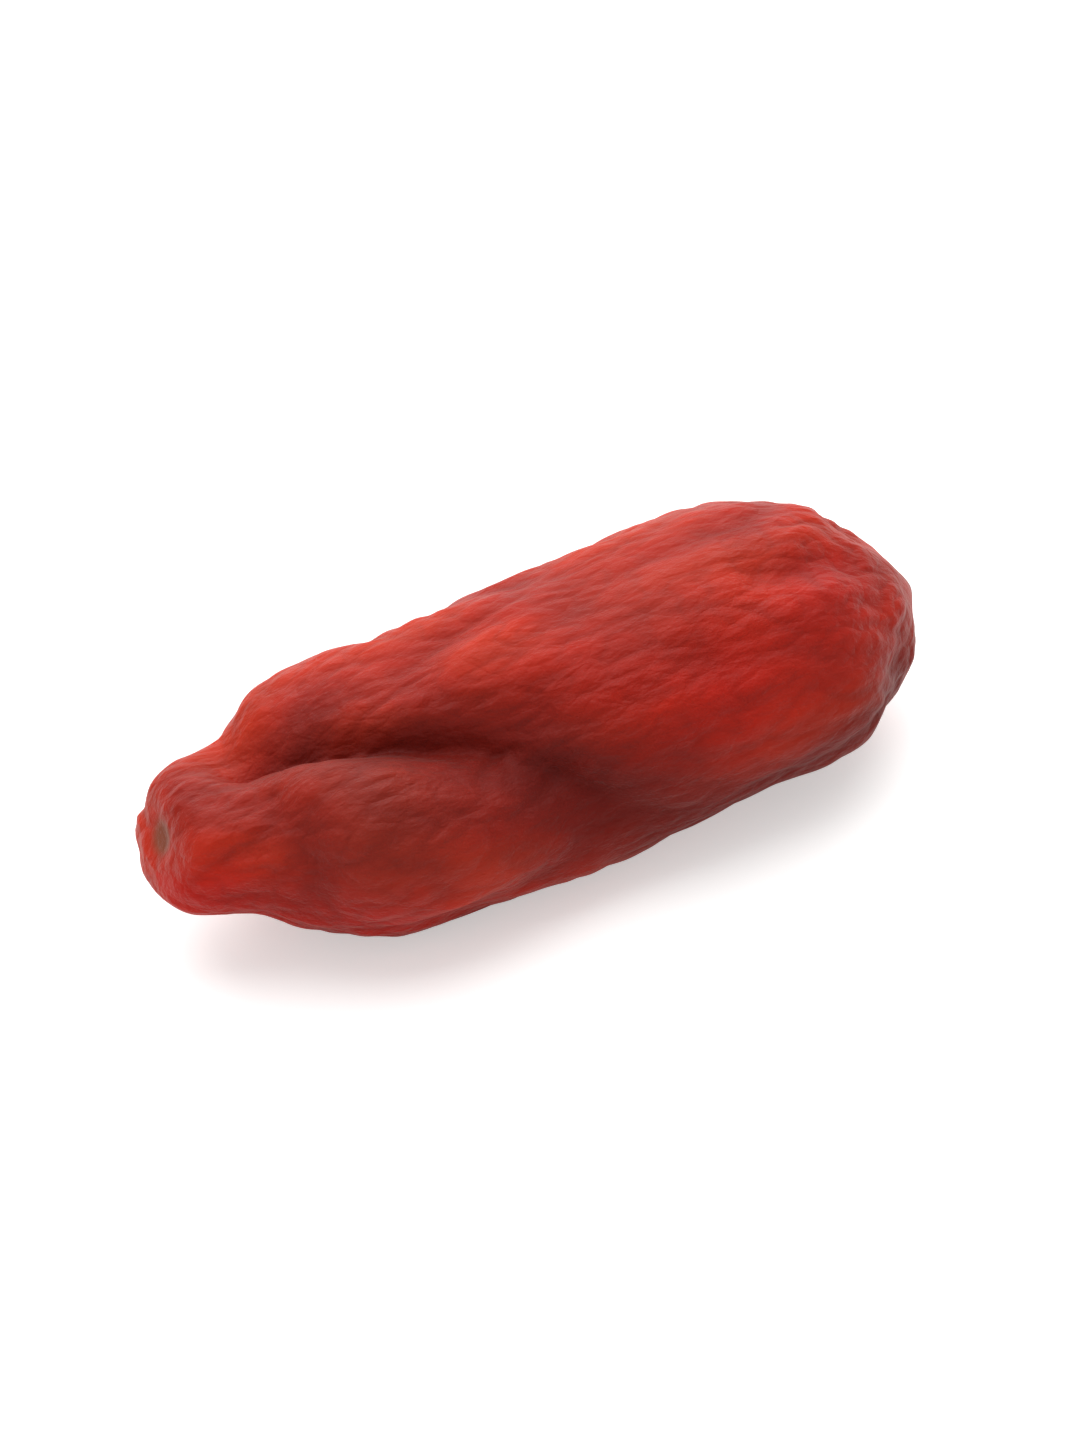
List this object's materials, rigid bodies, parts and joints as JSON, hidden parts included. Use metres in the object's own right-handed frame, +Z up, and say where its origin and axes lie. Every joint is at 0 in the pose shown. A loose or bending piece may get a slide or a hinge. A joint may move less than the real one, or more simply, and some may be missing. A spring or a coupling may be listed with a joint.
{
  "type": "dried goji berry",
  "caption": "Dried goji berry: one long wrinkled red fruit with a narrow stalk end and a blunt tip, lying on its side.",
  "frame": {"origin": "under the middle of the berry's box, on the surface it rests on", "axes": "+X along the long axis, from the stalk scar to the style tip; +Z up; -Y the side that shows the main fold"},
  "size_m": [0.016, 0.0066, 0.0049],
  "materials": {
    "skin": "wrinkled dried fruit skin, leathery, with a soft waxy gloss"
  },
  "bodies": {
    "root": {"berry": "skin"}
  },
  "joints": []
}
